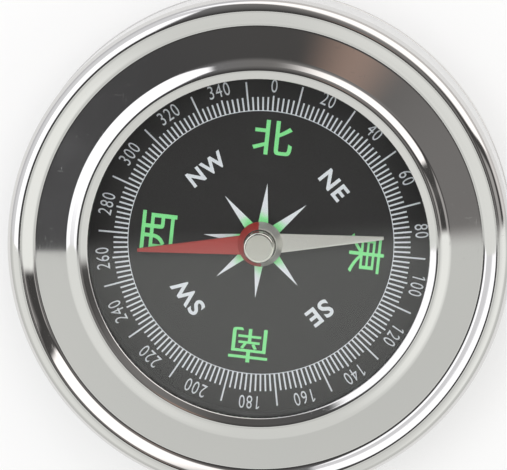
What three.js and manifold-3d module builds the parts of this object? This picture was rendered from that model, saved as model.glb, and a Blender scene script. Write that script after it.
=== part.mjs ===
// Pocket magnetic compass: a polished steel front shell over a flat crystal, a steel back cover
// pressed into it, a black dial and a free needle on a steel point. Millimetres, +Z out of the
// dial, +Y to the dial's zero mark, origin at the centre of the flat back.
import Module from 'manifold-3d';
import * as THREE from 'three';
import { mergeVertices } from 'three/addons/utils/BufferGeometryUtils.js';

// Widths across the front shell, from the opening over the dial out to its side wall
const SIGHT_RADIUS = 25.3;
const RING_WIDTH = 1.3;
const BEAD_WIDTH = 1.7;
const DISH_WIDTH = 4.95;
const LIP_WIDTH = 2.1;
const RIM_WIDTH = 2.05;

// Heights on the front shell, and its sheet
const FLANGE_EDGE = 0.4;
const RING_FALL = 0.3;
const BEAD_RISE = 0.5;
const DISH_RISE = 0.77;
const LIP_RISE = 0.72;
const LIP_ANGLE = 20;
const CREST_ROUND = 0.8;
const RIM_HEIGHT = 1.45;
const SHEET = 0.8;
const POCKET_DEPTH = 0.7;

// Back cover: a flange under the side wall, and a cup pressed into it
const FLANGE_OVERHANG = 0.1;
const FLANGE_THICKNESS = 1.6;
const FLANGE_BEVEL = 0.3;
const FOOT_ROUND = 1.2;
const FLOOR = 1.0;
const FLOOR_CORNER = 1.0;
const CUP_WALL = 1.0;
const CUP_HEIGHT = 4.4;
const CUP_BEVEL = 0.4;

// Crystal and seals
const CRYSTAL_OVERLAP = 1.7;
const CRYSTAL_THICKNESS = 1.0;
const CRYSTAL_BEVEL = 0.2;
const GASKET_THICKNESS = 0.2;
const GASKET_SETBACK = 0.3;
const SEAL_SETBACK = 0.15;
const SEAL_THICKNESS = 0.3;

// Spacer, dial and the moulded carrier under it
const SPACER_SETBACK = 0.3;
const SPACER_WALL = 1.4;
const SPACER_FLANGE = 1.0;
const DIAL_OVERLAP = 1.2;
const DIAL_THICKNESS = 0.6;
const CARRIER_WEB = 1.6;
const CARRIER_WALL = 2.5;
const CARRIER_STAND = 2.5;
const BOSS_RADIUS = 4.5;
const BOSS_DROP = 1.2;

// Pivot
const BUSH_FLANGE_RADIUS = 1.9;
const BUSH_FLANGE = 0.3;
const BUSH_SHANK_RADIUS = 1.2;
const RIVET_RADIUS = 2.1;
const RIVET_HEIGHT = 0.8;
const PIN_RADIUS = 0.5;
const PIN_SEAT_DEPTH = 3.0;
const PIN_POINT = 1.5;

// Needle
const NEEDLE_LENGTH = 36.8;
const NEEDLE_THICKNESS = 0.4;
const HUB_RADIUS = 3.35;
const HUB_RISE = 1.2;
const HUB_LAND = 0.1;
const ARM_WIDTH = 3.3;
const TIP_WIDTH = 0.5;
const CAP_RADIUS = 2.33;
const CAP_BRIM = 0.12;
const CAP_BRIM_HEIGHT = 0.5;
const CAP_HEIGHT = 2.55;
const CAP_WALL = 0.3;
const CAP_ROUND = 0.15;
const JEWEL_HEIGHT = 0.7;
const JEWEL_CONE_RADIUS = 0.9;
const JEWEL_CONE_DEPTH = 0.55;
const COLLAR_FLANGE_RADIUS = 2.4;
const COLLAR_FLANGE = 0.25;
const COLLAR_BORE = 1.6;
const NEEDLE_BEARING = 262.2;

// Clearances
const FIT = 0.3;
const PRESS_FIT = 0.1;
const POINT_GAP = 0.1;
const NEEDLE_RUN = 0.5;
const CAP_CLEARANCE = 0.3;

// Facets round a full turn, and steps on each rounded edge
const LARGE_TURN = 60;
const SMALL_TURN = 28;
const RIM_STEPS = 6;
const LIP_STEPS = 2;
const FOOT_STEPS = 4;
const BEAD_STEPS = 5;

// Radii that the widths give
const beadCrest = SIGHT_RADIUS + RING_WIDTH;
const dishInner = beadCrest + BEAD_WIDTH;
const dishOuter = dishInner + DISH_WIDTH;
const rimCrest = dishOuter + LIP_WIDTH;
const wallOuter = rimCrest + RIM_WIDTH;
const wallInner = wallOuter - SHEET;
const flangeRadius = wallOuter + FLANGE_OVERHANG;
const cupOuter = wallInner - FIT;
const cupInner = cupOuter - CUP_WALL;
const crystalRadius = SIGHT_RADIUS + CRYSTAL_OVERLAP;
const pocketRadius = crystalRadius + FIT;
const spacerBore = SIGHT_RADIUS + SPACER_SETBACK;
const dialRadius = spacerBore + DIAL_OVERLAP;
const insertRadius = cupInner - FIT;
const pivotHole = BUSH_SHANK_RADIUS + FIT;
const capBore = CAP_RADIUS - CAP_WALL;
const jewelRadius = capBore - PRESS_FIT;
const hubHole = capBore;
const collarTube = hubHole - PRESS_FIT;

// Heights that the stack of pieces gives, from the back up
const webBottom = FLOOR + CARRIER_STAND;
const dialSeat = webBottom + CARRIER_WEB;
const dialFace = dialSeat + DIAL_THICKNESS;
const collarBottom = dialFace + BUSH_FLANGE + NEEDLE_RUN;
const bladeBottom = collarBottom + COLLAR_FLANGE;
const bladeTop = bladeBottom + NEEDLE_THICKNESS;
const hubTop = bladeTop + HUB_RISE;
const capTop = hubTop + CAP_HEIGHT;
const capCeiling = capTop - CAP_WALL;
const jewelBottom = capCeiling - JEWEL_HEIGHT;
const pinTip = jewelBottom + JEWEL_CONE_DEPTH - POINT_GAP;
const crystalBottom = capTop + CAP_CLEARANCE;
const crystalTop = crystalBottom + CRYSTAL_THICKNESS;
const flangeBottom = crystalTop + GASKET_THICKNESS;
const beadTop = flangeBottom + FLANGE_EDGE + RING_FALL;
const dishTop = beadTop - BEAD_RISE;
const valley = dishTop - DISH_RISE;
const rimTop = valley + LIP_RISE;
const skirtBottom = FLANGE_THICKNESS + SEAL_THICKNESS;

const wasm = await Module();
wasm.setup();

// Points on a round edge about (r, z), between two angles in degrees from the outward direction
function arc(r, z, radiusR, radiusZ, from, to, steps) {
  const points = [];
  for (let i = 0; i <= steps; i += 1) {
    const angle = THREE.MathUtils.degToRad(from + ((to - from) * i) / steps);
    points.push([r + radiusR * Math.cos(angle), z + radiusZ * Math.sin(angle)]);
  }
  return points;
}

// A turned solid from points (radius, height) that run anticlockwise round its section
function turn(points, facets) {
  const profile = points.map(([r, z]) => new THREE.Vector2(r, z));
  const onAxis = profile[0].x === 0 && profile[profile.length - 1].x === 0;
  if (!onAxis) {
    profile.push(profile[0].clone());
  }
  const geometry = new THREE.LatheGeometry(profile, facets);
  geometry.rotateX(Math.PI / 2);
  return geometry;
}

// A plain ring of rectangular section
function ring(inner, outer, bottom, top) {
  return turn([[inner, bottom], [outer, bottom], [outer, top], [inner, top]], LARGE_TURN);
}

function piece(name, geometry, color, roughness, metalness) {
  const material = new THREE.MeshStandardMaterial({ color, roughness, metalness });
  const mesh = new THREE.Mesh(geometry, material);
  mesh.name = name;
  return mesh;
}

// Front shell: side wall, rounded rim, lip falling to a valley, dish rising to a bead, and the inner
// ring that falls to the opening and holds the crystal
function frontShell() {
  const third = BEAD_WIDTH / 3;
  const dishSlope = DISH_RISE / DISH_WIDTH;
  const flank = new THREE.CubicBezierCurve(
    new THREE.Vector2(dishInner, dishTop),
    new THREE.Vector2(dishInner - third, dishTop + third * dishSlope),
    new THREE.Vector2(beadCrest + third, beadTop),
    new THREE.Vector2(beadCrest, beadTop),
  );
  const flankPoints = flank.getPoints(BEAD_STEPS).map((point) => [point.x, point.y]);
  const rimCentre = rimTop - RIM_HEIGHT;
  const crestCentre = rimTop - CREST_ROUND;
  return turn([
    [wallInner, skirtBottom],
    [wallOuter, skirtBottom],
    ...arc(rimCrest, rimCentre, RIM_WIDTH, RIM_HEIGHT, 0, 90, RIM_STEPS),
    ...arc(rimCrest, crestCentre, CREST_ROUND, CREST_ROUND, 90, 90 + LIP_ANGLE, LIP_STEPS).slice(1),
    [dishOuter, valley],
    ...flankPoints,
    [SIGHT_RADIUS, flangeBottom + FLANGE_EDGE],
    [SIGHT_RADIUS, flangeBottom],
    [pocketRadius, flangeBottom],
    [pocketRadius, flangeBottom - POCKET_DEPTH],
    [dishInner, flangeBottom - POCKET_DEPTH],
    [dishOuter, valley - SHEET],
    [rimCrest, rimTop - SHEET],
    [wallInner, rimCentre],
  ], LARGE_TURN);
}

// Back cover: flat back with a rounded foot, a flange that meets the side wall, and a cup inside it
function backCover() {
  const cupTop = FLANGE_THICKNESS + CUP_HEIGHT;
  return turn([
    [0, 0],
    ...arc(flangeRadius - FOOT_ROUND, FOOT_ROUND, FOOT_ROUND, FOOT_ROUND, -90, 0, FOOT_STEPS),
    [flangeRadius, FLANGE_THICKNESS - FLANGE_BEVEL],
    [flangeRadius - FLANGE_BEVEL, FLANGE_THICKNESS],
    [cupOuter, FLANGE_THICKNESS],
    [cupOuter, cupTop - CUP_BEVEL],
    [cupOuter - CUP_BEVEL, cupTop],
    [cupInner, cupTop],
    [cupInner, FLOOR + FLOOR_CORNER],
    [cupInner - FLOOR_CORNER, FLOOR],
    [0, FLOOR],
  ], LARGE_TURN);
}

// Crystal: a flat disc with both edges bevelled
function crystalDisc() {
  return turn([
    [0, crystalBottom],
    [crystalRadius - CRYSTAL_BEVEL, crystalBottom],
    [crystalRadius, crystalBottom + CRYSTAL_BEVEL],
    [crystalRadius, crystalTop - CRYSTAL_BEVEL],
    [crystalRadius - CRYSTAL_BEVEL, crystalTop],
    [0, crystalTop],
  ], LARGE_TURN);
}

// Spacer: a wall that carries the crystal, on a flange that clamps the dial and the carrier
function spacerRing() {
  const spacerOuter = spacerBore + SPACER_WALL;
  return turn([
    [spacerBore, dialFace],
    [insertRadius, dialFace],
    [insertRadius, dialFace + SPACER_FLANGE],
    [spacerOuter, dialFace + SPACER_FLANGE],
    [spacerOuter, crystalBottom],
    [spacerBore, crystalBottom],
  ], LARGE_TURN);
}

// Carrier: a tray with a recess for the dial, an outer wall on the floor and a centre boss
function dialCarrier() {
  const recess = dialRadius + FIT;
  const skirtInner = insertRadius - CARRIER_WALL;
  const foot = insertRadius - FLOOR_CORNER;
  return turn([
    [pivotHole, webBottom - BOSS_DROP],
    [BOSS_RADIUS, webBottom - BOSS_DROP],
    [BOSS_RADIUS, webBottom],
    [skirtInner, webBottom],
    [skirtInner, FLOOR],
    [foot, FLOOR],
    [insertRadius, FLOOR + FLOOR_CORNER],
    [insertRadius, dialFace],
    [recess, dialFace],
    [recess, dialSeat],
    [pivotHole, dialSeat],
  ], LARGE_TURN);
}

// Pivot bush: a flange on the dial, a shank through the dial and the boss, and a riveted end below
function pivotBush() {
  const bossBottom = webBottom - BOSS_DROP;
  const bushTop = dialFace + BUSH_FLANGE;
  const pinBore = PIN_RADIUS + PRESS_FIT;
  return turn([
    [0, bossBottom - RIVET_HEIGHT],
    [RIVET_RADIUS - RIVET_HEIGHT / 2, bossBottom - RIVET_HEIGHT],
    [RIVET_RADIUS, bossBottom - RIVET_HEIGHT / 2],
    [RIVET_RADIUS, bossBottom],
    [BUSH_SHANK_RADIUS, bossBottom],
    [BUSH_SHANK_RADIUS, dialFace],
    [BUSH_FLANGE_RADIUS, dialFace],
    [BUSH_FLANGE_RADIUS, bushTop - BUSH_FLANGE / 2],
    [BUSH_FLANGE_RADIUS - BUSH_FLANGE / 2, bushTop],
    [pinBore, bushTop],
    [pinBore, bushTop - PIN_SEAT_DEPTH],
    [0, bushTop - PIN_SEAT_DEPTH],
  ], SMALL_TURN);
}

// Pivot pin: a steel wire, seated in the bush and ground to a point
function pivotPin() {
  const seat = dialFace + BUSH_FLANGE - PIN_SEAT_DEPTH;
  return turn([
    [0, seat],
    [PIN_RADIUS, seat],
    [PIN_RADIUS, pinTip - PIN_POINT],
    [0, pinTip],
  ], SMALL_TURN);
}

// A closed geometry as a solid for joining
function solid(geometry) {
  const bare = geometry.clone();
  bare.deleteAttribute('normal');
  bare.deleteAttribute('uv');
  const merged = mergeVertices(bare);
  const vertProperties = new Float32Array(merged.attributes.position.array);
  const triVerts = new Uint32Array(merged.index.array);
  return new wasm.Manifold(new wasm.Mesh({ numProp: 3, vertProperties, triVerts }));
}

// A joined solid as a geometry again
function surface(body) {
  const mesh = body.getMesh();
  const geometry = new THREE.BufferGeometry();
  geometry.setAttribute('position', new THREE.BufferAttribute(mesh.vertProperties, 3));
  geometry.setIndex(new THREE.BufferAttribute(mesh.triVerts, 1));
  geometry.computeVertexNormals();
  return geometry;
}

// Needle blade: two tapering arms, north end along +X before it is turned, and a hub that rises to
// the cap's seat as a cone
function needleBlade() {
  const reach = NEEDLE_LENGTH / 2;
  const halfArm = ARM_WIDTH / 2;
  const halfTip = TIP_WIDTH / 2;
  const hubTopRadius = CAP_RADIUS + CAP_BRIM + HUB_LAND;
  const hub = turn([
    [hubHole, bladeBottom],
    [HUB_RADIUS, bladeBottom],
    [HUB_RADIUS, bladeTop],
    [hubTopRadius, hubTop],
    [hubHole, hubTop],
  ], SMALL_TURN);
  const outline = new THREE.Shape();
  outline.moveTo(-reach, halfTip);
  outline.lineTo(-reach, -halfTip);
  outline.lineTo(0, -halfArm);
  outline.lineTo(reach, -halfTip);
  outline.lineTo(reach, halfTip);
  outline.lineTo(0, halfArm);
  outline.closePath();
  const arms = new THREE.ExtrudeGeometry(outline, { depth: NEEDLE_THICKNESS, bevelEnabled: false });
  arms.translate(0, 0, bladeBottom);
  const bore = new THREE.CylinderGeometry(hubTopRadius, hubTopRadius, 2 * hubTop, SMALL_TURN);
  bore.rotateX(Math.PI / 2);
  return surface(solid(arms).subtract(solid(bore)).add(solid(hub)));
}

// Needle cap: a drawn steel hat on the hub, open below
function needleCap() {
  const brimRadius = CAP_RADIUS + CAP_BRIM;
  return turn([
    [capBore, hubTop],
    [brimRadius, hubTop],
    [brimRadius, hubTop + CAP_BRIM_HEIGHT],
    [CAP_RADIUS, hubTop + CAP_BRIM_HEIGHT + CAP_BRIM],
    [CAP_RADIUS, capTop - CAP_ROUND],
    [CAP_RADIUS - CAP_ROUND, capTop],
    [0, capTop],
    [0, capCeiling],
    [capBore, capCeiling],
  ], SMALL_TURN);
}

// Jewel: the cone-bored bearing under the cap's ceiling
function jewelCup() {
  return turn([
    [0, jewelBottom + JEWEL_CONE_DEPTH],
    [JEWEL_CONE_RADIUS, jewelBottom],
    [jewelRadius, jewelBottom],
    [jewelRadius, capCeiling],
    [0, capCeiling],
  ], SMALL_TURN);
}

// Needle collar: a flanged tube up through the hub that holds the jewel against the cap
function needleCollar() {
  return turn([
    [COLLAR_BORE, collarBottom],
    [COLLAR_FLANGE_RADIUS, collarBottom],
    [COLLAR_FLANGE_RADIUS, bladeBottom],
    [collarTube, bladeBottom],
    [collarTube, jewelBottom],
    [COLLAR_BORE, jewelBottom],
  ], SMALL_TURN);
}

const compass = new THREE.Group();
compass.name = 'compass';

const housing = new THREE.Group();
housing.name = 'housing';
const sealOuter = wallOuter - SEAL_SETBACK;
const gasketInner = SIGHT_RADIUS + GASKET_SETBACK;
housing.add(
  piece('front_shell', frontShell(), 0xcfcecb, 0.06, 1.0),
  piece('back_cover', backCover(), 0xc9c8c4, 0.08, 1.0),
  piece('crystal', crystalDisc(), 0xf4f7f6, 0.03, 0.0),
  piece('crystal_gasket', ring(gasketInner, crystalRadius, crystalTop, flangeBottom), 0x1c1c1c, 0.8, 0.0),
  piece('case_seal', ring(wallInner, sealOuter, FLANGE_THICKNESS, skirtBottom), 0x222222, 0.85, 0.0),
  piece('spacer_ring', spacerRing(), 0x1e1e1e, 0.55, 0.0),
  piece('dial_plate', ring(pivotHole, dialRadius, dialSeat, dialFace), 0x2a2929, 0.5, 0.0),
  piece('dial_carrier', dialCarrier(), 0x262626, 0.6, 0.0),
  piece('pivot_bush', pivotBush(), 0xb08d4a, 0.35, 1.0),
  piece('pivot_pin', pivotPin(), 0xa6a6a8, 0.25, 1.0),
);

const needle = new THREE.Group();
needle.name = 'needle';
needle.rotation.z = THREE.MathUtils.degToRad(90 - NEEDLE_BEARING);
needle.add(
  piece('needle_blade', needleBlade(), 0xb4241e, 0.4, 0.2),
  piece('needle_cap', needleCap(), 0xcdcbbe, 0.3, 1.0),
  piece('jewel_cup', jewelCup(), 0x8a2f3a, 0.1, 0.0),
  piece('needle_collar', needleCollar(), 0xb59a5a, 0.35, 1.0),
);

compass.add(housing, needle);

export default compass;
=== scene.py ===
"""A round pocket compass: mirror-polished steel shell, flat crystal, printed black dial and a free needle.

Lengths are in millimetres until the last step of each piece. +Z is out of the dial and +Y is its zero mark.
"""

import math

import bmesh
import bpy
from mathutils import Matrix, Vector


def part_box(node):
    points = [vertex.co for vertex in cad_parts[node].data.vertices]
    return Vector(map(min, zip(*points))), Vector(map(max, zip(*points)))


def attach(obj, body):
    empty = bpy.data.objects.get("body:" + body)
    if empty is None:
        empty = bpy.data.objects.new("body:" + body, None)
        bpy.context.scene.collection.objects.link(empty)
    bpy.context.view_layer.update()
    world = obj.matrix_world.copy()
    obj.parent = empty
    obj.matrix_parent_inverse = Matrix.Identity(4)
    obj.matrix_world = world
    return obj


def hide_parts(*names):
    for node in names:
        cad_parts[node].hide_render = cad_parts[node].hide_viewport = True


MM = 0.001

# Front shell: widths from the opening over the dial out to the side wall
SIGHT_RADIUS = 25.3
RING_WIDTH = 1.3
BEAD_WIDTH = 1.65
DISH_WIDTH = 5.08
LIP_WIDTH = 2.02

# Front shell: heights and fillets
FLANGE_EDGE = 0.4
RING_FALL = 0.3
BEAD_RISE = 0.5
DISH_RISE = 0.77
VALLEY_ROUND = 1.4
FLANK_FOOT_ROUND = 3.0
SIGHT_ROUND = 0.22
FLANGE_ROUND = 0.06
SKIRT_ROUND = 0.12

# Front shell: tangent arcs that start level on a crest, as radius and the slope in degrees at the arc's end
RIM_ARCS = ((1.5, 12.0), (4.0, 23.0), (1.65, 90.0))
LIP_ARCS = ((1.2, 22.5), (28.0, 26.0))
RING_ARCS = ((0.5, 10.5), (5.0, 15.0))
FLANK_ARCS = ((1.6, 12.0), (3.0, 18.5))

# Front shell: its sheet, and the pocket for the crystal
SHEET = 0.8
POCKET_DEPTH = 0.7
POCKET_RADIUS = 27.3

# Back cover
FOOT_ROUND = 1.2
FLANGE_THICKNESS = 1.6
FLANGE_BEVEL = 0.3
COVER_THICKNESS = 1.0
COVER_CORNER = 1.0
CUP_WALL = 1.0
CUP_BEVEL = 0.4
CUP_GAP = 0.3

# Crystal and spacer
CRYSTAL_BEVEL = 0.2
SPACER_BORE = 25.6
SPACER_WALL = 1.4
SPACER_FLANGE = 1.0
SPACER_FOOT_ROUND = 0.2
SPACER_TOP_ROUND = 0.15

# Needle
NEEDLE_LENGTH = 36.8
NEEDLE_THICKNESS = 0.4
NEEDLE_BEARING = 262.2
HUB_RADIUS = 3.35
HUB_ROUND = 0.08
HUB_LAND = 0.1
LAND_ROUND = 0.05
ARM_WIDTH = 3.3
TIP_WIDTH = 0.5
ARM_BEVEL = 0.07
ARM_BEVEL_STEPS = 3
CUTTER_HEIGHT = 20.0

# Cap on the needle
CAP_RADIUS = 2.33
CAP_BRIM = 0.12
CAP_BRIM_HEIGHT = 0.5
CAP_BRIM_ROUND = 0.05
CAP_NECK_ROUND = 0.03
CAP_WALL = 0.3
CAP_ROUND = 0.38

# Print on the dial: the scale and its numbers
PRINT_THICKNESS = 0.03
PRINT_SINK = 0.01
SCALE_SHIFT = (0.17, -0.26, 0.0)
SCALE_CIRCLE = 19.92
CIRCLE_WIDTH = 0.11
CIRCLE_THICKNESS = 0.024
TICK_STEP = 2
LONG_TICK_STEP = 10
NUMBER_STEP = 20
TICK_WIDTH = 0.25
SHORT_TICK = 2.25
MEDIUM_TICK = 2.5
LONG_TICK = 4.55
NUMBER_RADIUS = 23.91
NUMBER_HEIGHT = 2.0
NUMBER_STRETCH = 0.725
FLAGGED_STRETCH = 0.69
NUMBER_WEIGHT = -0.002
FLAG_LENGTH = 0.3
FLAG_DROP = 0.28
FLAG_WIDTH = 0.26

# Print on the dial: the rose, with each part of it at its own printed place
ROSE_TURN = 1.6
ROSE_SHIFT = (0.25, 0.3, 0.0)
STAR_RAYS = 8
STAR_TIP = 8.67
STAR_VALLEY = 2.2
STAR_SHIFT = (-0.2, 0.02, 0.0)
LETTER_STRETCH = 1.02
LETTER_WEIGHT = 0.027
LETTER_SPACING = 1.14
LETTER_CURVE_STEPS = 4
CHARACTER_RADIUS = 15.6
CHARACTER_WIDTH = 5.9
CHARACTER_HEIGHT = 5.2

# Letter pairs: bearing, radius, words and height
LETTERS = (
    (45.3, 13.59, "NE", 2.55),
    (135.4, 13.76, "SE", 2.8),
    (226.7, 14.03, "SW", 2.65),
    (316.2, 13.64, "NW", 2.45),
)

# Characters for north, east, south and west: bearing, shift, character and weight
CHARACTERS = (
    (0, (-0.13, 0.0, 0.0), "北", 0.012),
    (90, (0.0, -0.18, 0.0), "東", 0.003),
    (180, (-0.36, -0.30, 0.0), "南", 0.003),
    (270, (0.0, -0.30, 0.0), "西", 0.010),
)

# Facets
FINE_TURN = 288
SMALL_TURN = 128
FILLET_STEPS = 8
CREST_STEPS = 12
RIM_STEPS = 16
SUPPORT = 0.04
LONG_STRAIGHT = 0.16
SHARP_ANGLE = 40
ON_AXIS = 1e-6

# Colours
WHITE = (1.0, 1.0, 1.0, 1.0)
INK_GREY = (0.79, 0.82, 0.86)
INK_GREY_WORN = (0.72, 0.75, 0.79)
INK_GREEN = (0.265, 0.84, 0.325)
INK_GREEN_WORN = (0.23, 0.79, 0.29)
# Star green: the green ink made lighter, as painted light that lifts the needle hub's shadow over the star's
# centre
STAR_GREEN_LIFTED = (0.30, 0.93, 0.37)
DIAL_BLACK = (0.022, 0.021, 0.021)
DIAL_BLACK_DEEP = (0.018, 0.017, 0.017)
NEEDLE_RED = (0.40, 0.045, 0.037)
NEEDLE_SILVER = (0.84, 0.83, 0.78)
CAP_COLOR = (0.86, 0.85, 0.78)
STEEL_WARM = (1.0, 0.985, 0.965)
STEEL_COOL = (0.97, 0.965, 0.955)
GLASS_COOL = (0.97, 0.985, 0.98)
GLASS_CLEAR = (0.985, 0.99, 0.985)
SPACER_BLACK = (0.030, 0.030, 0.030)
SPACER_BLACK_DEEP = (0.020, 0.020, 0.020)
CARRIER_BLACK = (0.045, 0.045, 0.045)
CARRIER_BLACK_DEEP = (0.03, 0.03, 0.03)
RUBBER_BLACK = (0.030, 0.030, 0.030)
RUBBER_BLACK_DEEP = (0.018, 0.018, 0.018)
BRASS_BRIGHT = (0.69, 0.53, 0.27)
BRASS_DULL = (0.58, 0.43, 0.20)
PIN_BRIGHT = (0.62, 0.62, 0.63)
PIN_DULL = (0.52, 0.52, 0.53)
JEWEL_RED = (0.42, 0.05, 0.09)
JEWEL_RED_DEEP = (0.30, 0.03, 0.06)

# Finishes: scales of noise per metre, bands of noise over which a finish changes, and ranges of roughness
GRAIN_BAND = (0.3, 0.7)
GRAIN_DEPTH = 0.02
BUFFING_SCALE = 9000.0
HAZE_SCALE = 90.0
WEAR_BAND = (0.12, 0.40)
SCUFF_STRETCHES = ((600.0, 3500.0, 600.0), (2800.0, 500.0, 600.0))
SCUFF_BAND = (0.66, 0.78)
SCUFF_ROUGHNESS = 0.13
CAP_BRUSHING = (400.0, 9000.0, 400.0)
CAP_BRUSH_SHADE = 0.93
CAP_BRUSH_DEPTH = 0.01
CAP_BRUSH_BUMP = 0.15
CAP_SATIN = (0.35, 0.5)
CAP_SIDE_ROUGHNESS = 0.12
CAP_SIDE_BLEND = 0.05
GLASS_SCALE = 60.0
INK_ROUGHNESS = (0.45, 0.6)
PLASTIC_ROUGHNESS = (0.5, 0.65)
STAR_PATCH_SCALE = 700.0
STAR_PATCH_REACH = 2.0
STAR_FADE = (4.2, 6.4)
SPECK_SCALE = 2500.0
SPRAY_REACH = 0.4
SPRAY_EDGE = 0.12
RED_SHADE = 0.8
SILVER_SHADE = 0.92
SILVER_METAL = 0.8
PAINT_ROUGHNESS = (0.32, 0.5)

# Camera of the photograph: direction, roll, aim point, distance and lens
CAMERA_AZIMUTH = 162.84
CAMERA_ELEVATION = 80.95
CAMERA_ROLL = 4.58
CAMERA_AIM = (-1.036, 1.545, 9.0)
CAMERA_DISTANCE = 700.0
CAMERA_LENS = 335.0
CAMERA_NEAR = 50.0
SENSOR_WIDTH = 36.0

# Studio: directions as slopes from the vertical, along and across the near edge of a dark card overhead.
# The spread is the distance, in slopes, from the point that a level mirror shows.
CARD_ALONG = (0.991, 0.135, 0.0)
CARD_ACROSS = (-0.135, 0.991, 0.0)
MIRROR_POINT = (-0.067, -0.1445, 0.0)
LEAST_HEIGHT = 0.02

# Pale room on the near side of the card: brightness, and the bands over which it changes
ROOM_ABOVE = 0.88
PALE_ROOM = 0.735
PALE_ROOM_BAND = (0.10, 0.28)
PALE_ROOM_RISE = 0.135
PALE_ROOM_RISE_BAND = (0.35, 0.50)
SIDE_ROOM = 0.28
SIDE_ROOM_BAND = (0.2, 0.8)
SIDE_ROOM_LEFT = 0.13
SIDE_ROOM_LEFT_BAND = (-0.2, -0.8)
OUTER_ROOM = 0.78
OUTER_ROOM_BAND = (1.1, 2.0)
LOWEST_ROOM = 0.72
LOWEST_ROOM_BAND = (2.2, 3.6)

# Dark card: its near edge, its brightness, a glow and a lighter end at the right, and what lies beyond it
CARD_EDGE = -0.146
CARD_SOFTNESS = 0.004
CARD_BLUR = 0.022
CARD_BLUR_BAND = (0.05, 0.25)
CARD_NEAR = 0.07
CARD_FAR = 0.22
CARD_BAND = (0.05, 0.75)
CARD_GLOW = 0.16
GLOW_START = (0.0, 0.27)
GLOW_STOP = (0.42, 0.30)
CARD_END = 0.42
END_START = (0.42, 0.55)
END_STOP = (0.82, 0.71)
END_SIDE = (0.10, 0.04)
CARD_LEFT = 0.03
CARD_LEFT_BAND = (-0.2, -0.45)
BEYOND_CARD = 0.92
BEYOND_CARD_BAND = (1.03, 1.48)

# Softboxes: edges as slopes, and the bands over which each box starts and stops
SOFTBOX = 1.6
LEFT_BOX_LEAN = 0.65
LEFT_BOX_PLACE = -0.445
LEFT_BOX_LIMIT = -0.262
LEFT_BOX_EDGE = (-0.04, 0.03)
LEFT_BOX_SLANT = 0.1
LEFT_BOX_REACH = (1.02, 0.98)
LEFT_BEYOND_EDGE = (-0.02, 0.02)
LEFT_BEYOND_BAND = (0.90, 0.99)
RIGHT_BOX_LEAN = 0.8
RIGHT_BOX_EDGE = (0.58, 0.86)
RIGHT_BOX_TILT = 0.2
RIGHT_BOX_FOOT = (0.02, 0.08)
RIGHT_BOX_REACH = (2.8, 1.9)

# Tints of room and card, and a warm patch of light on the card
ROOM_TINT = (0.988, 1.0, 0.967, 1.0)
CARD_COOL = (0.97, 0.97, 1.0, 1.0)
CARD_WARM = (1.0, 0.965, 0.945, 1.0)
CARD_TINT_BAND = (-0.35, 0.05)
PATCH_PLACE = (0.115, 0.17, 0.0)
PATCH_REACH = 0.10
PATCH_LIGHT = (0.27, 0.162, 0.117, 1.0)

# Floor and lamp
FLOOR_SIZE = 6000.0
FLOOR_DROP = 0.05
FLOOR_COLOR = (0.38, 0.38, 0.38)
FLOOR_SHADE = 0.97
FLOOR_SCALE = 3.0
FLOOR_LIFT = 0.495
LAMP_SIZE = 1200.0
LAMP_PLACE = (-60.0, 240.0, 1000.0)
LAMP_POWER = 6.5

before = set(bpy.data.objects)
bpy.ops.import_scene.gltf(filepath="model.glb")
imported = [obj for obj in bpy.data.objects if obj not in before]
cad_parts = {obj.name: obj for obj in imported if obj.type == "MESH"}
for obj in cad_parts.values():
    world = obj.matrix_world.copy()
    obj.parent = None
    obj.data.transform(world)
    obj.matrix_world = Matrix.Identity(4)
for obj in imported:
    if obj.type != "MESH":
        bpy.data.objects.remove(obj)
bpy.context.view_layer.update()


# Sizes of the CAD nodes
def low(node):
    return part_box(node)[0].z / MM


def high(node):
    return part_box(node)[1].z / MM


def reach(node):
    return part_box(node)[1].x / MM


# Profiles
def crest(r, z, side, arcs, steps):
    """Tangent arcs down from a level crest at (r, z), outward for side 1 and inward for side -1."""
    points = [(r, z)]
    slope = 0.0
    for radius, end in arcs:
        r, z = points[-1]
        start = math.radians(slope)
        for i in range(1, steps + 1):
            angle = math.radians(slope + (end - slope) * i / steps)
            out = r + side * radius * (math.sin(angle) - math.sin(start))
            points.append((out, z - radius * (math.cos(start) - math.cos(angle))))
        slope = end
    return points


def foot(r, steps):
    """A quarter round from the level underside up to a wall of radius r."""
    points = []
    for i in range(steps + 1):
        angle = math.radians(-90 + 90 * i / steps)
        out = r - FOOT_ROUND + FOOT_ROUND * math.cos(angle)
        points.append((out, FOOT_ROUND + FOOT_ROUND * math.sin(angle)))
    return points


def rounded(corners):
    """A closed section from corners (r, z) or (r, z, fillet), with each fillet drawn as a curve."""
    points = []
    for i, corner in enumerate(corners):
        here = Vector(corner[:2])
        if len(corner) == 2:
            points.append(tuple(here))
            continue
        before = (Vector(corners[i - 1][:2]) - here).normalized()
        after = (Vector(corners[(i + 1) % len(corners)][:2]) - here).normalized()
        half = before.angle(after) / 2
        setback = corner[2] / math.tan(half)
        ends = (here + before * setback, here, here + after * setback)
        for step in range(FILLET_STEPS + 1):
            t = step / FILLET_STEPS
            weights = ((1 - t) ** 2, 2 * t * (1 - t), t * t)
            points.append(tuple(sum((w * p for w, p in zip(weights, ends)), Vector((0, 0)))))
    return points


def supported(points):
    """The section with a point just inside both ends of each long straight, so that flats shade flat."""
    result = []
    for i, point in enumerate(points):
        start = Vector(point)
        run = Vector(points[(i + 1) % len(points)]) - start
        result.append(tuple(start))
        if run.length > LONG_STRAIGHT:
            inset = run.normalized() * SUPPORT
            result.append(tuple(start + inset))
            result.append(tuple(start + run - inset))
    return result


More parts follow.
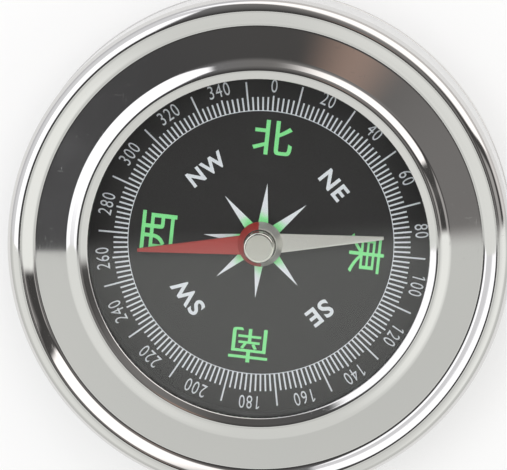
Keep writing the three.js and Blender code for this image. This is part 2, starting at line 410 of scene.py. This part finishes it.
# Meshes
def finish_piece(name, bm, material, body, slot, *nodes):
    """A named object from a mesh in millimetres, riding on a body and standing for CAD nodes."""
    bmesh.ops.recalc_face_normals(bm, faces=bm.faces)
    mesh = bpy.data.meshes.new(name)
    bm.to_mesh(mesh)
    bm.free()
    mesh.transform(Matrix.Scale(MM, 4))
    mesh.polygons.foreach_set("use_smooth", [True] * len(mesh.polygons))
    mesh.set_sharp_from_angle(angle=math.radians(SHARP_ANGLE))
    mesh.materials.append(material)
    piece = bpy.data.objects.new(name, mesh)
    bpy.context.scene.collection.objects.link(piece)
    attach(piece, body)
    if nodes:
        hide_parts(*nodes)
    return piece


def turned(points, segments):
    """A turned solid from a closed section; points on the axis become single poles."""
    bm = bmesh.new()
    rings = []
    for r, z in points:
        if r < ON_AXIS:
            rings.append([bm.verts.new((0, 0, z))] * segments)
            continue
        angles = [2 * math.pi * k / segments for k in range(segments)]
        rings.append([bm.verts.new((r * math.cos(a), r * math.sin(a), z)) for a in angles])
    for i, ring in enumerate(rings):
        following = rings[(i + 1) % len(rings)]
        if ring[0] is ring[1] and following[0] is following[1]:
            continue
        for k in range(segments):
            n = (k + 1) % segments
            corners = []
            for vertex in (ring[k], following[k], following[n], ring[n]):
                if vertex not in corners:
                    corners.append(vertex)
            bm.faces.new(corners)
    return bm


def prism(bm, outline, bottom, top, place=Matrix.Identity(4)):
    """Adds an upright prism over a flat outline, between two heights."""
    lower = [bm.verts.new(place @ Vector((x, y, bottom))) for x, y in outline]
    upper = [bm.verts.new(place @ Vector((x, y, top))) for x, y in outline]
    bm.faces.new(lower[::-1])
    bm.faces.new(upper)
    for i in range(len(outline)):
        n = (i + 1) % len(outline)
        bm.faces.new((lower[i], lower[n], upper[n], upper[i]))


# Materials
def shade(color, factor=1.0):
    """A colour times a factor, with full alpha."""
    return (*(factor * channel for channel in color), 1.0)


class Net:
    """A node tree with short calls for the nodes that the materials and the world share."""

    def __init__(self, tree):
        self.tree = tree
        tree.nodes.clear()

    def node(self, kind, **settings):
        made = self.tree.nodes.new(kind)
        for name, value in settings.items():
            setattr(made, name, value)
        return made

    def feed(self, socket, value):
        if isinstance(value, bpy.types.NodeSocket):
            self.tree.links.new(value, socket)
        else:
            socket.default_value = value

    def math(self, operation, first, second):
        made = self.node("ShaderNodeMath", operation=operation)
        self.feed(made.inputs[0], first)
        self.feed(made.inputs[1], second)
        return made.outputs[0]

    def plus(self, total, *terms):
        for term in terms:
            total = self.math("ADD", total, term)
        return total

    def minus(self, first, second):
        return self.math("SUBTRACT", first, second)

    def times(self, product, *factors):
        for factor in factors:
            product = self.math("MULTIPLY", product, factor)
        return product

    def larger(self, first, second):
        return self.math("MAXIMUM", first, second)

    def vector(self, operation, first, second, output="Vector"):
        made = self.node("ShaderNodeVectorMath", operation=operation)
        self.feed(made.inputs[0], first)
        self.feed(made.inputs[1], second)
        return made.outputs[output]

    def step(self, value, start, end, low=0.0, high=1.0):
        """A smooth step from low at start to high at end."""
        made = self.node("ShaderNodeMapRange", interpolation_type="SMOOTHSTEP")
        for socket, given in zip(made.inputs, (value, start, end, low, high)):
            self.feed(socket, given)
        return made.outputs[0]

    def blend(self, factor, first, second):
        made = self.node("ShaderNodeMix", data_type="RGBA")
        self.feed(made.inputs[0], factor)
        self.feed(made.inputs[6], first)
        self.feed(made.inputs[7], second)
        return made.outputs[2]

    def noise(self, coordinates, scale=1.0, detail=3.0):
        made = self.node("ShaderNodeTexNoise")
        self.feed(made.inputs["Vector"], coordinates)
        self.feed(made.inputs["Scale"], scale)
        self.feed(made.inputs["Detail"], detail)
        return made.outputs["Fac"]

    def place(self):
        return self.node("ShaderNodeTexCoord").outputs["Object"]

    def stretched(self, stretch):
        return self.vector("MULTIPLY", self.place(), stretch)

    def radius(self):
        """Distance from the pivot axis, in metres."""
        return self.vector("LENGTH", self.stretched((1.0, 1.0, 0.0)), (0.0, 0.0, 0.0), "Value")

    def relief(self, shader, height, strength, depth):
        """A fine bump on a shader, of a depth in millimetres."""
        made = self.node("ShaderNodeBump")
        made.inputs["Strength"].default_value = strength
        made.inputs["Distance"].default_value = depth * MM
        self.feed(made.inputs["Height"], height)
        self.feed(shader.inputs["Normal"], made.outputs["Normal"])

    def mix(self, factor, first, second):
        """One shader where the factor is 0 and another where it is 1."""
        made = self.node("ShaderNodeMixShader")
        for socket, given in zip(made.inputs, (factor, first, second)):
            self.feed(socket, given)
        return made.outputs[0]


def surface(name, **constants):
    """A material, its net and its shader, with the shader's plain values set on it."""
    material = bpy.data.materials.new(name)
    material.use_nodes = True
    net = Net(material.node_tree)
    net.output = net.node("ShaderNodeOutputMaterial")
    shader = net.node("ShaderNodeBsdfPrincipled")
    net.feed(net.output.inputs["Surface"], shader.outputs["BSDF"])
    for socket, value in constants.items():
        shader.inputs[socket.replace("_", " ")].default_value = value
    return material, net, shader


def mottled(name, first, second, scale, roughness, bump=0.0, **constants):
    """Two colours mottled together, with roughness that follows the mottle and a matching fine bump."""
    material, net, shader = surface(name, **constants)
    grain = net.noise(net.place(), scale)
    net.feed(shader.inputs["Base Color"], net.blend(grain, shade(first), shade(second)))
    net.feed(shader.inputs["Roughness"], net.step(grain, *GRAIN_BAND, *roughness))
    if bump:
        net.relief(shader, grain, bump, GRAIN_DEPTH)
    return material


def polished_steel(name, grey, roughness):
    """Mirror polish with faint rings left by the buffing wheel, a slight haze and a few fine scuffs."""
    material, net, shader = surface(name, Metallic=1.0)
    rings = net.noise(net.radius(), BUFFING_SCALE, detail=2.0)
    haze = net.noise(net.place(), HAZE_SCALE)
    polish = net.step(net.times(rings, haze), *WEAR_BAND, *roughness)
    scuffs = net.larger(*(net.noise(net.stretched(stretch), detail=2.0) for stretch in SCUFF_STRETCHES))
    net.feed(shader.inputs["Roughness"], net.step(scuffs, *SCUFF_BAND, polish, SCUFF_ROUGHNESS))
    net.feed(shader.inputs["Base Color"], net.blend(haze, shade(STEEL_WARM, grey), shade(STEEL_COOL, grey)))
    return material


def cap_steel():
    """Satin steel with straight brush lines on top, and a polished edge and side."""
    material, net, shader = surface("cap_steel", Metallic=1.0)
    lines = net.noise(net.stretched(CAP_BRUSHING), detail=4.0)
    color = net.blend(lines, shade(CAP_COLOR, CAP_BRUSH_SHADE), shade(CAP_COLOR))
    net.feed(shader.inputs["Base Color"], color)
    satin = net.step(lines, *GRAIN_BAND, *CAP_SATIN)
    flat = CAP_RADIUS - CAP_ROUND
    side = ((flat - CAP_SIDE_BLEND) * MM, flat * MM)
    net.feed(shader.inputs["Roughness"], net.step(net.radius(), *side, satin, CAP_SIDE_ROUGHNESS))
    net.relief(shader, lines, CAP_BRUSH_BUMP, CAP_BRUSH_DEPTH)
    return material


def clear_glass():
    """Clear glass with a trace of uneven tint, which lets lamp light through to the dial."""
    material, net, shader = surface("crystal_glass", IOR=1.5, Roughness=0.0, Transmission_Weight=1.0)
    tint = net.noise(net.place(), GLASS_SCALE)
    net.feed(shader.inputs["Base Color"], net.blend(tint, shade(GLASS_COOL), shade(GLASS_CLEAR)))
    clear = net.node("ShaderNodeBsdfTransparent").outputs["BSDF"]
    shadow = net.node("ShaderNodeLightPath").outputs["Is Shadow Ray"]
    net.feed(net.output.inputs["Surface"], net.mix(shadow, shader.outputs["BSDF"], clear))
    return material


def star_ink():
    """Luminous green round the centre that fades to pale grey along the rays; the green is the characters'
    green ink made lighter, painted light that lifts the shadow of the needle's hub.
    """
    material, net, shader = surface("star_ink")
    patch = net.noise(net.place(), STAR_PATCH_SCALE)
    ragged = net.plus(net.radius(), net.times(patch, STAR_PATCH_REACH * MM))
    start, end = STAR_FADE
    fade = net.step(ragged, start * MM, end * MM)
    net.feed(shader.inputs["Base Color"], net.blend(fade, shade(STAR_GREEN_LIFTED), shade(INK_GREY)))
    net.feed(shader.inputs["Roughness"], net.step(patch, *GRAIN_BAND, *INK_ROUGHNESS))
    return material


def needle_paint():
    """Red paint on the north half and silver white on the other, with a soft spray edge at the hub."""
    material, net, shader = surface("needle_paint", Coat_Weight=0.25, Coat_Roughness=0.15)
    place = net.place()
    speck = net.noise(place, SPECK_SCALE)
    along = net.vector("DOT_PRODUCT", place, (1.0, 0.0, 0.0), "Value")
    ragged = net.plus(along, net.times(net.minus(speck, 0.5), SPRAY_REACH * MM))
    edge = (-SPRAY_EDGE * MM, SPRAY_EDGE * MM)
    red = net.blend(speck, shade(NEEDLE_RED), shade(NEEDLE_RED, RED_SHADE))
    silver = net.blend(speck, shade(NEEDLE_SILVER), shade(NEEDLE_SILVER, SILVER_SHADE))
    net.feed(shader.inputs["Base Color"], net.blend(net.step(ragged, *edge), silver, red))
    net.feed(shader.inputs["Metallic"], net.step(ragged, *edge, SILVER_METAL, 0.0))
    net.feed(shader.inputs["Roughness"], net.step(speck, *GRAIN_BAND, *PAINT_ROUGHNESS))
    return material


SHELL_STEEL = polished_steel("shell_steel", grey=0.70, roughness=(0.03, 0.07))
BACK_STEEL = polished_steel("back_steel", grey=0.69, roughness=(0.05, 0.12))
GLASS = clear_glass()
DIAL_PAINT = mottled("dial_paint", DIAL_BLACK, DIAL_BLACK_DEEP, scale=4000.0, roughness=(0.56, 0.64))
GREY_INK = mottled("grey_ink", INK_GREY, INK_GREY_WORN, scale=3000.0, roughness=INK_ROUGHNESS)
GREEN_INK = mottled("green_ink", INK_GREEN, INK_GREEN_WORN, scale=3000.0, roughness=INK_ROUGHNESS)
# The star's ink carries painted light: its green is lightened against the hub's shadow
STAR_INK_WITH_PAINTED_LIGHT = star_ink()
NEEDLE_PAINT = needle_paint()
CAP_STEEL = cap_steel()
SPACER_PLASTIC = mottled(
    "spacer_plastic", SPACER_BLACK, SPACER_BLACK_DEEP, scale=3000.0, roughness=PLASTIC_ROUGHNESS, bump=0.3)
CARRIER_PLASTIC = mottled(
    "carrier_plastic", CARRIER_BLACK, CARRIER_BLACK_DEEP, scale=2500.0, roughness=PLASTIC_ROUGHNESS, bump=0.3)
RUBBER = mottled(
    "seal_rubber", RUBBER_BLACK, RUBBER_BLACK_DEEP, scale=4000.0, roughness=(0.75, 0.9), bump=0.4)
BRASS = mottled("turned_brass", BRASS_BRIGHT, BRASS_DULL, scale=1500.0, roughness=(0.22, 0.38), Metallic=1.0)
PIN_STEEL = mottled("pin_steel", PIN_BRIGHT, PIN_DULL, scale=3000.0, roughness=(0.18, 0.3), Metallic=1.0)
JEWEL = mottled("jewel_stone", JEWEL_RED, JEWEL_RED_DEEP, scale=2000.0, roughness=(0.05, 0.12), IOR=1.76)


# Case pieces
def make_shell():
    bead_crest = SIGHT_RADIUS + RING_WIDTH
    dish_inner = bead_crest + BEAD_WIDTH
    dish_outer = dish_inner + DISH_WIDTH
    rim_crest = dish_outer + LIP_WIDTH
    wall_outer = reach("front_shell")
    wall_inner = wall_outer - SHEET
    bead_top = high("front_shell")
    flange_bottom = bead_top - RING_FALL - FLANGE_EDGE
    dish_top = bead_top - BEAD_RISE
    valley = dish_top - DISH_RISE
    skirt_bottom = low("front_shell")
    lip = crest(rim_crest, 0, -1, LIP_ARCS, CREST_STEPS)
    rim_top = valley - lip[-1][1]
    rim = crest(rim_crest, rim_top, 1, RIM_ARCS, RIM_STEPS)
    flank = crest(bead_crest, bead_top, 1, FLANK_ARCS, RIM_STEPS)
    ring = crest(bead_crest, bead_top, -1, RING_ARCS, CREST_STEPS)
    section = rounded([
        (wall_inner, skirt_bottom),
        (wall_outer, skirt_bottom, SKIRT_ROUND),
        *rim[::-1],
        *((r, rim_top + z) for r, z in lip[1:] if r > dish_outer + VALLEY_ROUND / 2),
        (dish_outer, valley, VALLEY_ROUND),
        (dish_inner, dish_top, FLANK_FOOT_ROUND),
        *flank[::-1],
        *ring[1:],
        (SIGHT_RADIUS, flange_bottom + FLANGE_EDGE, SIGHT_ROUND),
        (SIGHT_RADIUS, flange_bottom, FLANGE_ROUND),
        (POCKET_RADIUS, flange_bottom),
        (POCKET_RADIUS, flange_bottom - POCKET_DEPTH),
        (dish_inner, flange_bottom - POCKET_DEPTH),
        (dish_outer, valley - SHEET),
        (rim_crest, rim_top - SHEET),
        (wall_inner, rim[-1][1]),
    ])
    bm = turned(supported(section), FINE_TURN)
    finish_piece("shell_polished", bm, SHELL_STEEL, "case", "shell_steel", "front_shell")


def make_back():
    flange = reach("back_cover")
    cup_top = high("back_cover")
    cup_outer = reach("front_shell") - SHEET - CUP_GAP
    cup_inner = cup_outer - CUP_WALL
    section = rounded([
        (0, 0),
        *foot(flange, RIM_STEPS),
        (flange, FLANGE_THICKNESS, FLANGE_BEVEL),
        (cup_outer, FLANGE_THICKNESS),
        (cup_outer, cup_top, CUP_BEVEL),
        (cup_inner, cup_top),
        (cup_inner, COVER_THICKNESS, COVER_CORNER),
        (0, COVER_THICKNESS),
    ])
    bm = turned(supported(section), FINE_TURN)
    finish_piece("back_polished", bm, BACK_STEEL, "case", "back_steel", "back_cover")


def make_crystal():
    radius = reach("crystal")
    section = rounded([
        (0, low("crystal")),
        (radius, low("crystal"), CRYSTAL_BEVEL),
        (radius, high("crystal"), CRYSTAL_BEVEL),
        (0, high("crystal")),
    ])
    bm = turned(supported(section), FINE_TURN)
    finish_piece("crystal_disc", bm, GLASS, "case", "crystal_glass", "crystal")


def make_spacer():
    outer = reach("spacer_ring")
    bottom = low("spacer_ring")
    top = high("spacer_ring")
    wall = SPACER_BORE + SPACER_WALL
    section = rounded([
        (SPACER_BORE, bottom),
        (outer, bottom, SPACER_FOOT_ROUND),
        (outer, bottom + SPACER_FLANGE, SPACER_FOOT_ROUND),
        (wall, bottom + SPACER_FLANGE),
        (wall, top, SPACER_TOP_ROUND),
        (SPACER_BORE, top, SPACER_TOP_ROUND),
    ])
    bm = turned(supported(section), FINE_TURN)
    finish_piece("spacer_moulding", bm, SPACER_PLASTIC, "case", "spacer_plastic", "spacer_ring")


# Print
def bearing_frame(bearing, radius):
    """Places a flat drawing at a bearing, with its top outward, on the face of the dial."""
    turn = Matrix.Rotation(math.radians(-bearing), 4, "Z")
    return turn @ Matrix.Translation((0, radius, high("dial_plate")))


def scale_frame(bearing, radius):
    """The same for the scale, which is printed a little aside from its inner circle."""
    return Matrix.Translation(SCALE_SHIFT) @ bearing_frame(bearing, radius)


def rose_frame(bearing, radius):
    """The same for the rose, which is printed a little turned and aside from the scale."""
    return Matrix.Translation(ROSE_SHIFT) @ bearing_frame(bearing + ROSE_TURN, radius)


def mark(bm, outline, place):
    """Adds a thin raised print from a flat outline."""
    prism(bm, outline, -PRINT_SINK, PRINT_THICKNESS, place)


def lettering(bm, words, height, weight, place, stretch=1.0, width=None):
    """Adds centred words of a height, stretched or fitted to a width, and returns half their width."""
    curve = bpy.data.curves.new("lettering", "FONT")
    curve.body = words
    curve.offset = weight
    curve.space_character = LETTER_SPACING
    curve.extrude = PRINT_THICKNESS
    curve.resolution_u = LETTER_CURVE_STEPS
    writer = bpy.data.objects.new("lettering", curve)
    bpy.context.scene.collection.objects.link(writer)
    mesh = bpy.data.meshes.new_from_object(writer.evaluated_get(bpy.context.evaluated_depsgraph_get()))
    xs = [v.co.x for v in mesh.vertices]
    ys = [v.co.y for v in mesh.vertices]
    tall = height / (max(ys) - min(ys))
    wide = width / (max(xs) - min(xs)) if width else tall * stretch
    centre = Matrix.Translation((-(max(xs) + min(xs)) / 2, -(max(ys) + min(ys)) / 2, 0))
    mesh.transform(place @ Matrix.Diagonal((wide, tall, 1, 1)) @ centre)
    bm.from_mesh(mesh)
    bpy.data.meshes.remove(mesh)
    bpy.data.objects.remove(writer)
    bpy.data.curves.remove(curve)
    return wide * (max(xs) - min(xs)) / 2


def tick_length(bearing):
    if bearing % NUMBER_STEP == 0:
        return MEDIUM_TICK
    if bearing % LONG_TICK_STEP == 0:
        return LONG_TICK
    return SHORT_TICK


def make_scale():
    bm = bmesh.new()
    half = TICK_WIDTH / 2
    for bearing in range(0, 360, TICK_STEP):
        outward = Matrix.Rotation(math.radians(-bearing), 3, "Z") @ Vector((0, 1, 0))
        start = -outward.dot(Vector(SCALE_SHIFT))
        end = tick_length(bearing)
        outline = [(-half, start), (half, start), (half, end), (-half, end)]
        mark(bm, outline, scale_frame(bearing, SCALE_CIRCLE))
    face = high("dial_plate")
    inner = SCALE_CIRCLE - CIRCLE_WIDTH
    bottom = face - PRINT_SINK
    top = face + CIRCLE_THICKNESS
    section = [(inner, bottom), (SCALE_CIRCLE, bottom), (SCALE_CIRCLE, top), (inner, top)]
    circle = turned(section, FINE_TURN)
    mesh = bpy.data.meshes.new("circle")
    circle.to_mesh(mesh)
    circle.free()
    bm.from_mesh(mesh)
    bpy.data.meshes.remove(mesh)
    finish_piece("scale_ticks", bm, GREY_INK, "case", "dial_black")


def flag(half):
    """The outline of the short stroke at the top of a leading 1, for a number of a given half width."""
    top = NUMBER_HEIGHT / 2
    tip = -half - FLAG_LENGTH
    tip_top = top - FLAG_DROP
    return [(-half, top), (tip, tip_top), (tip, tip_top - FLAG_WIDTH), (-half, top - FLAG_WIDTH)]


def make_numbers():
    bm = bmesh.new()
    for bearing in range(0, 360, NUMBER_STEP):
        words = str(bearing)
        place = scale_frame(bearing, NUMBER_RADIUS)
        if words.startswith("1"):
            place = place @ Matrix.Translation((FLAG_LENGTH / 2, 0, 0))
            half = lettering(bm, words, NUMBER_HEIGHT, NUMBER_WEIGHT, place, stretch=FLAGGED_STRETCH)
            mark(bm, flag(half), place)
        else:
            lettering(bm, words, NUMBER_HEIGHT, NUMBER_WEIGHT, place, stretch=NUMBER_STRETCH)
    finish_piece("scale_numbers", bm, GREY_INK, "case", "dial_black")


def make_letters():
    bm = bmesh.new()
    for bearing, radius, words, height in LETTERS:
        lettering(bm, words, height, LETTER_WEIGHT, rose_frame(bearing, radius), stretch=LETTER_STRETCH)
    finish_piece("rose_letters", bm, GREY_INK, "case", "dial_black")


def make_characters():
    bm = bmesh.new()
    for bearing, shift, words, weight in CHARACTERS:
        place = Matrix.Translation(shift) @ rose_frame(bearing, CHARACTER_RADIUS)
        lettering(bm, words, CHARACTER_HEIGHT, weight, place, width=CHARACTER_WIDTH)
    finish_piece("rose_characters", bm, GREEN_INK, "case", "dial_black")


def make_star():
    bm = bmesh.new()
    outline = []
    for k in range(2 * STAR_RAYS):
        angle = math.pi * k / STAR_RAYS
        radius = STAR_VALLEY if k % 2 else STAR_TIP
        outline.append((radius * math.cos(angle), radius * math.sin(angle)))
    mark(bm, outline, Matrix.Translation(STAR_SHIFT) @ rose_frame(0, 0))
    finish_piece("rose_star", bm, STAR_INK_WITH_PAINTED_LIGHT, "case", "dial_black")


# Needle
def make_needle():
    bottom = low("needle_blade")
    top = bottom + NEEDLE_THICKNESS
    hub_top = high("needle_blade")
    half_length = NEEDLE_LENGTH / 2
    half_tip = TIP_WIDTH / 2
    hub_bore = CAP_RADIUS - CAP_WALL
    land = CAP_RADIUS + CAP_BRIM + HUB_LAND
    hub = turned(supported(rounded([
        (hub_bore, bottom),
        (HUB_RADIUS, bottom, HUB_ROUND),
        (HUB_RADIUS, top, HUB_ROUND),
        (land, hub_top, LAND_ROUND),
        (hub_bore, hub_top),
    ])), SMALL_TURN)
    outline = [(-half_length, half_tip), (-half_length, -half_tip), (0, -ARM_WIDTH / 2)]
    outline += [(-x, -y) for x, y in outline]
    arms = bmesh.new()
    prism(arms, outline, bottom, top)
    edges = arms.edges[:]
    bmesh.ops.bevel(arms, geom=edges, offset=ARM_BEVEL, segments=ARM_BEVEL_STEPS, profile=0.5, affect="EDGES")
    blade = joined(arms, hub, land)
    piece = finish_piece("needle_painted", blade, NEEDLE_PAINT, "needle", "needle_paint", "needle_blade")
    piece.matrix_world = Matrix.Rotation(math.radians(90 - NEEDLE_BEARING), 4, "Z")


def joined(arms, hub, bore):
    """The arms, bored out at the hub, joined with the hub as one closed mesh."""
    cutter = turned([(0, 0), (bore, 0), (bore, CUTTER_HEIGHT), (0, CUTTER_HEIGHT)], SMALL_TURN)
    objects = []
    for name, bm in (("arms", arms), ("cutter", cutter), ("hub", hub)):
        bmesh.ops.recalc_face_normals(bm, faces=bm.faces)
        mesh = bpy.data.meshes.new(name)
        bm.to_mesh(mesh)
        bm.free()
        objects.append(bpy.data.objects.new(name, mesh))
        bpy.context.scene.collection.objects.link(objects[-1])
    base, tool, ring = objects
    for name, operation, other in (("bore", "DIFFERENCE", tool), ("join", "UNION", ring)):
        modifier = base.modifiers.new(name, "BOOLEAN")
        modifier.operation = operation
        modifier.object = other
        modifier.solver = "EXACT"
    mesh = bpy.data.meshes.new_from_object(base.evaluated_get(bpy.context.evaluated_depsgraph_get()))
    result = bmesh.new()
    result.from_mesh(mesh)
    bpy.data.meshes.remove(mesh)
    for made in objects:
        bpy.data.objects.remove(made)
    return result


def make_cap():
    bottom = low("needle_cap")
    top = high("needle_cap")
    brim = CAP_RADIUS + CAP_BRIM
    brim_top = bottom + CAP_BRIM_HEIGHT
    bore = CAP_RADIUS - CAP_WALL
    section = rounded([
        (bore, bottom),
        (brim, bottom, CAP_BRIM_ROUND),
        (brim, brim_top, CAP_BRIM_ROUND),
        (CAP_RADIUS, brim_top + CAP_BRIM, CAP_NECK_ROUND),
        (CAP_RADIUS, top, CAP_ROUND),
        (0, top),
        (0, top - CAP_WALL),
        (bore, top - CAP_WALL),
    ])
    bm = turned(supported(section), SMALL_TURN)
    finish_piece("cap_drawn", bm, CAP_STEEL, "needle", "cap_steel", "needle_cap")


def dress_inner_nodes():
    """Finishes for the CAD pieces that stay as they are."""
    finishes = {
        "crystal_gasket": RUBBER,
        "case_seal": RUBBER,
        "dial_plate": DIAL_PAINT,
        "dial_carrier": CARRIER_PLASTIC,
        "pivot_bush": BRASS,
        "pivot_pin": PIN_STEEL,
        "jewel_cup": JEWEL,
        "needle_collar": BRASS,
    }
    for node, material in finishes.items():
        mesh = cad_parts[node].data
        mesh.materials.clear()
        mesh.materials.append(material)


# Stage
def room_light(net, along, spread):
    """The pale room on the near side of the card, which is brighter towards its sides."""
    room = net.step(spread, *PALE_ROOM_BAND, ROOM_ABOVE, PALE_ROOM)
    room = net.step(spread, *PALE_ROOM_RISE_BAND, room, PALE_ROOM + PALE_ROOM_RISE)
    right = net.step(along, *SIDE_ROOM_BAND, 0.0, SIDE_ROOM)
    left = net.step(along, *SIDE_ROOM_LEFT_BAND, 0.0, SIDE_ROOM_LEFT)
    return net.step(spread, *OUTER_ROOM_BAND, net.plus(room, right, left), OUTER_ROOM)


def card_light(net, along, across, spread):
    """The dark card overhead, with a glow and a lighter end at the right, and the room beyond it."""
    card = net.step(across, *CARD_BAND, CARD_NEAR, CARD_FAR)
    glow = net.times(net.step(along, *GLOW_START, 0.0, CARD_GLOW), net.step(along, *GLOW_STOP))
    end = net.times(net.step(along, *END_START, 0.0, CARD_END), net.step(across, *END_SIDE))
    end = net.times(end, net.step(along, *END_STOP))
    left = net.step(along, *CARD_LEFT_BAND, 0.0, CARD_LEFT)
    card = net.plus(card, net.plus(glow, end), left)
    return net.step(spread, *BEYOND_CARD_BAND, card, BEYOND_CARD)


def upper_light(net, along, across, spread):
    """The dark card with a white softbox on each side of it."""
    card = card_light(net, along, across, spread)
    left_edge = net.plus(net.times(across, LEFT_BOX_LEAN), LEFT_BOX_PLACE)
    inside = net.minus(net.math("MINIMUM", left_edge, LEFT_BOX_LIMIT), along)
    slant = net.plus(spread, net.times(across, LEFT_BOX_SLANT))
    left = net.times(net.step(inside, *LEFT_BOX_EDGE), net.step(slant, *LEFT_BOX_REACH))
    right_edge = net.plus(along, net.times(across, RIGHT_BOX_LEAN))
    over = net.minus(across, net.times(along, RIGHT_BOX_TILT))
    right = net.times(net.step(right_edge, *RIGHT_BOX_EDGE), net.step(over, *RIGHT_BOX_FOOT))
    right = net.times(right, net.step(spread, *RIGHT_BOX_REACH))
    beyond = net.step(slant, *LEFT_BEYOND_BAND, card, BEYOND_CARD)
    card = net.step(inside, *LEFT_BEYOND_EDGE, card, beyond)
    return net.step(net.larger(left, right), 0.0, 1.0, card, SOFTBOX)


def background(net, color, strength):
    made = net.node("ShaderNodeBackground")
    net.feed(made.inputs["Color"], color)
    net.feed(made.inputs["Strength"], strength)
    return made.outputs[0]


def studio_slopes(net):
    """Slopes of a direction along and across the card's edge, singly and as one point."""
    direction = net.node("ShaderNodeTexCoord").outputs["Generated"]
    height = net.larger(net.vector("DOT_PRODUCT", direction, (0.0, 0.0, 1.0), "Value"), LEAST_HEIGHT)
    along = net.math("DIVIDE", net.vector("DOT_PRODUCT", direction, CARD_ALONG, "Value"), height)
    across = net.math("DIVIDE", net.vector("DOT_PRODUCT", direction, CARD_ACROSS, "Value"), height)
    point = net.node("ShaderNodeCombineXYZ")
    net.feed(point.inputs[0], along)
    net.feed(point.inputs[1], across)
    return along, across, point.outputs[0]


def make_world():
    """What the polish reflects: a pale room, a dark card overhead and a white softbox on each side of it."""
    world = bpy.data.worlds.new("studio")
    bpy.context.scene.world = world
    world.use_nodes = True
    net = Net(world.node_tree)
    along, across, point = studio_slopes(net)
    spread = net.vector("DISTANCE", point, MIRROR_POINT, "Value")
    room = room_light(net, along, spread)
    upper = upper_light(net, along, across, spread)
    softness = net.step(along, *CARD_BLUR_BAND, CARD_SOFTNESS, CARD_BLUR)
    edge = (net.minus(CARD_EDGE, softness), net.plus(CARD_EDGE, softness))
    sky = net.step(across, *edge, room, upper)
    sky = net.step(spread, *LOWEST_ROOM_BAND, sky, LOWEST_ROOM)
    card_tint = net.blend(net.step(along, *CARD_TINT_BAND), CARD_COOL, CARD_WARM)
    tint = net.blend(net.step(across, *edge), ROOM_TINT, card_tint)
    near = net.vector("DISTANCE", point, PATCH_PLACE, "Value")
    both = net.node("ShaderNodeAddShader")
    net.feed(both.inputs[0], background(net, tint, sky))
    net.feed(both.inputs[1], background(net, PATCH_LIGHT, net.step(near, PATCH_REACH, 0.0)))
    seen = net.node("ShaderNodeLightPath").outputs["Is Camera Ray"]
    output = net.node("ShaderNodeOutputWorld")
    net.feed(output.inputs["Surface"], net.mix(seen, both.outputs[0], background(net, WHITE, 1.0)))


def make_lamp():
    """A large soft lamp overhead that lights the print and the paint and stays out of the polish."""
    data = bpy.data.lights.new("lamp", "AREA")
    data.shape = "DISK"
    data.size = LAMP_SIZE * MM
    data.energy = LAMP_POWER
    data.cycles.use_multiple_importance_sampling = False
    lamp = bpy.data.objects.new("lamp", data)
    lamp.location = Vector(LAMP_PLACE) * MM
    lamp.rotation_euler = (-lamp.location).to_track_quat("-Z", "Y").to_euler()
    lamp.visible_camera = False
    lamp.visible_glossy = False
    lamp.visible_transmission = False
    bpy.context.scene.collection.objects.link(lamp)


def floor_pale():
    """A pale grey that reads as white to the eye, the polish and the glass, and keeps the shadow."""
    material, net, shader = surface("floor_pale", Roughness=0.9, Emission_Color=WHITE)
    mottle = net.noise(net.place(), FLOOR_SCALE)
    color = net.blend(mottle, shade(FLOOR_COLOR), shade(FLOOR_COLOR, FLOOR_SHADE))
    net.feed(shader.inputs["Base Color"], color)
    path = net.node("ShaderNodeLightPath").outputs
    seen = net.larger(path["Is Camera Ray"], path["Is Glossy Ray"])
    seen = net.larger(seen, path["Is Transmission Ray"])
    net.feed(shader.inputs["Emission Strength"], net.times(seen, FLOOR_LIFT))
    return material


def make_floor():
    bm = bmesh.new()
    bmesh.ops.create_grid(bm, x_segments=1, y_segments=1, size=FLOOR_SIZE * MM / 2)
    mesh = bpy.data.meshes.new("floor")
    bm.to_mesh(mesh)
    bm.free()
    mesh.materials.append(floor_pale())
    floor = bpy.data.objects.new("floor", mesh)
    floor.location.z = -FLOOR_DROP * MM
    bpy.context.scene.collection.objects.link(floor)


def make_camera():
    azimuth = math.radians(CAMERA_AZIMUTH)
    elevation = math.radians(CAMERA_ELEVATION)
    level = math.cos(elevation)
    back = Vector((math.sin(azimuth) * level, -math.cos(azimuth) * level, math.sin(elevation)))
    right = Vector((0, 1, 0)).cross(back).normalized()
    up = back.cross(right)
    turn = Matrix.Rotation(math.radians(CAMERA_ROLL), 3, back)
    axes = Matrix((turn @ right, turn @ up, back)).transposed()
    place = (Vector(CAMERA_AIM) + back * CAMERA_DISTANCE) * MM
    data = bpy.data.cameras.new("camera")
    data.lens = CAMERA_LENS
    data.sensor_width = SENSOR_WIDTH
    data.clip_start = CAMERA_NEAR * MM
    camera = bpy.data.objects.new("camera", data)
    camera.matrix_world = Matrix.Translation(place) @ axes.to_4x4()
    bpy.context.scene.collection.objects.link(camera)
    bpy.context.scene.camera = camera


bpy.context.scene.view_settings.view_transform = "Standard"
make_camera()
make_world()
make_lamp()
make_floor()
make_shell()
make_back()
make_crystal()
make_spacer()
make_scale()
make_numbers()
make_letters()
make_characters()
make_star()
make_needle()
make_cap()
dress_inner_nodes()
